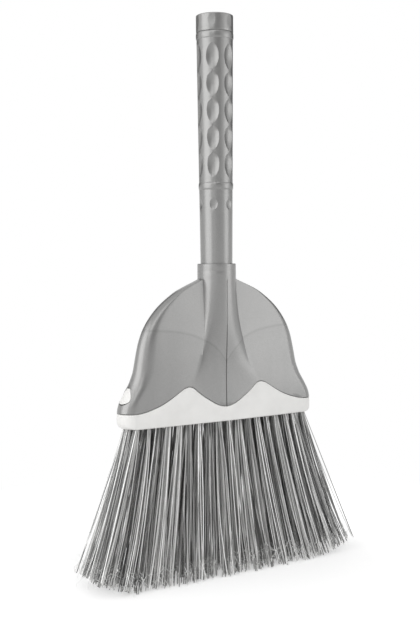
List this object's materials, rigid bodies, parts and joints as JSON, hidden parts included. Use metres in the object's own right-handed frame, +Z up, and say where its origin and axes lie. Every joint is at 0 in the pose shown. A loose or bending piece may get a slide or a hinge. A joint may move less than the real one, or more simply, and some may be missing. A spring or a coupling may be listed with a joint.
{
  "type": "hand broom",
  "caption": "Short hand broom: a scooped grip screws into a bell-shaped hood that holds a snap-in white block of fanned grey bristles.",
  "frame": {"origin": "on the floor under the middle of the broom, at the level of the bristle tips", "axes": "+X along the broom's width, to the right as seen from the front; +Y to the back; +Z up along the handle"},
  "size_m": [0.2573, 0.0583, 0.4799],
  "materials": {
    "silver_plastic": "pearl silver-grey, satin",
    "white_plastic": "moulded white, fine satin",
    "grey_bristle": "mixed light and dark grey filament"
  },
  "bodies": {
    "head": {"hood": "silver_plastic", "bristle_block": "white_plastic", "bristle_row_1": "grey_bristle", "bristle_row_2": "grey_bristle", "bristle_row_3": "grey_bristle", "bristle_row_4": "grey_bristle"},
    "handle_top": {"end_cap": "silver_plastic"},
    "handle": {"handle_grip": "silver_plastic", "thread_plug": "silver_plastic"},
    "left_tongue": {"latch_left": "white_plastic"},
    "right_tongue": {"latch_right": "white_plastic"}
  },
  "joints": [
    {"name": "handle_rise", "type": "slide", "parent": "head", "child": "handle_top", "axis": [0, 0, 1], "range_m": [0, 0.0175]},
    {"name": "handle_turn", "type": "hinge", "parent": "handle_top", "child": "handle", "pos_m": [0, 0, 0.2583], "axis": [0, 0, 1], "range_deg": [0, 1260]},
    {"name": "latch_left_press", "type": "hinge", "parent": "head", "child": "left_tongue", "pos_m": [-0.0922, 0, 0.1343], "axis": [0, 1, 0], "range_deg": [0, 12], "stiffness_Nm_per_rad": 0.03},
    {"name": "latch_right_press", "type": "hinge", "parent": "head", "child": "right_tongue", "pos_m": [0.0922, 0, 0.1343], "axis": [0, -1, 0], "range_deg": [0, 12], "stiffness_Nm_per_rad": 0.03}
  ],
  "couplings": [
    {"joint": "handle_turn", "follows": "handle_rise", "rad_per_m": 1256.6}
  ]
}
